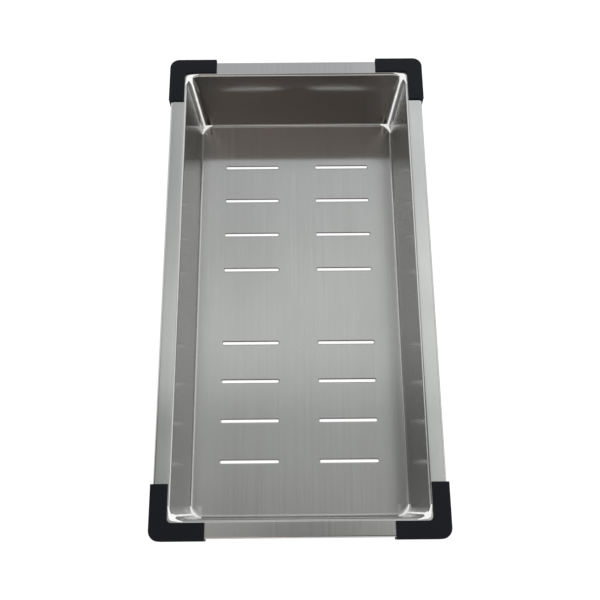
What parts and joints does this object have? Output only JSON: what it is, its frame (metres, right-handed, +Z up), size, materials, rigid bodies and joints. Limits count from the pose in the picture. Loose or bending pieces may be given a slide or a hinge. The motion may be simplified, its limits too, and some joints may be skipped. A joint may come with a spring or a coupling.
{
  "type": "sink drain tray",
  "caption": "Slotted stainless steel drain tray for a workstation kitchen sink, with a flanged rim and black plastic corner caps that rest on the sink's ledges.",
  "frame": {"origin": "underside of the tray's floor, at the middle of its outline", "axes": "+Z up, +Y along the length towards the back end, +X to the right across the width"},
  "size_m": [0.2356, 0.4326, 0.086],
  "materials": {
    "brushed_steel_sheet": "brushed along the length",
    "polished_steel_corner": "mirror polished",
    "black_cap_plastic": "matte, faintly glossy"
  },
  "bodies": {
    "root": {"pan": "brushed_steel_sheet", "corner_front_left": "polished_steel_corner", "corner_front_right": "polished_steel_corner", "corner_back_left": "polished_steel_corner", "corner_back_right": "polished_steel_corner", "cap_front_left": "black_cap_plastic", "cap_front_right": "black_cap_plastic", "cap_back_left": "black_cap_plastic", "cap_back_right": "black_cap_plastic"}
  },
  "joints": []
}
